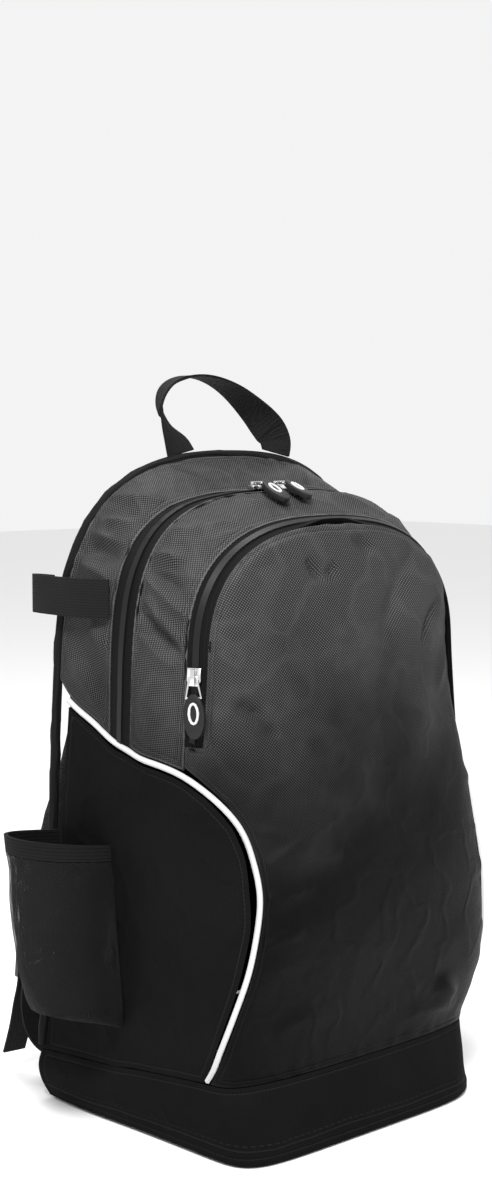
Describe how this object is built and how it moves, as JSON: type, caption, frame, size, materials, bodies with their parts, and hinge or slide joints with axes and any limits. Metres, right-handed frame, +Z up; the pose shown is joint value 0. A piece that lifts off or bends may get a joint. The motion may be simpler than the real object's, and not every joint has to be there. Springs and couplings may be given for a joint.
{
  "type": "baseball bat backpack",
  "caption": "Soft backpack for baseball kit with zipped front and main compartments, net side pockets, bat loops and a webbing haul handle.",
  "frame": {"origin": "middle of the base's underside, where the bag stands on the floor", "axes": "+Z up along the bag, -Y out of its front panel, +Y towards the wearer's back"},
  "size_m": [0.406, 0.2829, 0.5335],
  "materials": {
    "grey_ripstop": "grey woven cloth with a fine diamond grid",
    "black_canvas": "matt black woven cloth",
    "black_padding": "padded black cloth",
    "black_tape": "matt black tape",
    "black_chain": "black coil zip teeth",
    "white_piping": "white covered cord",
    "black_webbing": "ribbed black webbing",
    "black_mesh": "fine black net",
    "bright_metal": "bright cast metal",
    "black_rubber": "matt moulded rubber",
    "white_inlay": "white moulded oval",
    "light_tab": "light grey woven tab",
    "black_buckle": "matt moulded plastic"
  },
  "bodies": {
    "root": {"back_gusset": "grey_ripstop", "front_gusset": "grey_ripstop", "main_zip_tape_rear": "black_tape", "main_zip_tape_front": "black_tape", "main_zip_chain": "black_chain", "front_zip_tape_rear": "black_tape", "front_zip_tape_front": "black_tape", "front_zip_chain": "black_chain", "front_panel": "grey_ripstop", "side_panel_left": "black_canvas", "piping_left": "white_piping", "side_panel_right": "black_canvas", "piping_right": "white_piping", "back_panel": "black_padding", "bound_seam": "black_webbing", "base": "black_canvas", "mesh_pocket_left": "black_mesh", "pocket_binding_left": "black_webbing", "bat_loop_left": "black_webbing", "mesh_pocket_right": "black_mesh", "pocket_binding_right": "black_webbing", "bat_loop_right": "black_webbing", "haul_handle": "black_webbing", "front_pull_slider": "bright_metal", "front_pull_link": "bright_metal", "front_pull_tab": "black_rubber", "front_pull_ring": "white_inlay", "main_pull_left_slider": "bright_metal", "main_pull_left_link": "bright_metal", "main_pull_left_tab": "black_rubber", "main_pull_left_ring": "white_inlay", "main_pull_right_slider": "bright_metal", "main_pull_right_link": "bright_metal", "main_pull_right_tab": "black_rubber", "main_pull_right_ring": "white_inlay", "shoulder_strap_left": "black_padding", "ladder_lock_left": "black_buckle", "strap_loop_left": "black_webbing", "lower_webbing_left": "black_webbing", "webbing_sleeve_left": "light_tab", "shoulder_strap_right": "black_padding", "ladder_lock_right": "black_buckle", "strap_loop_right": "black_webbing", "lower_webbing_right": "black_webbing", "webbing_sleeve_right": "light_tab"}
  },
  "joints": []
}
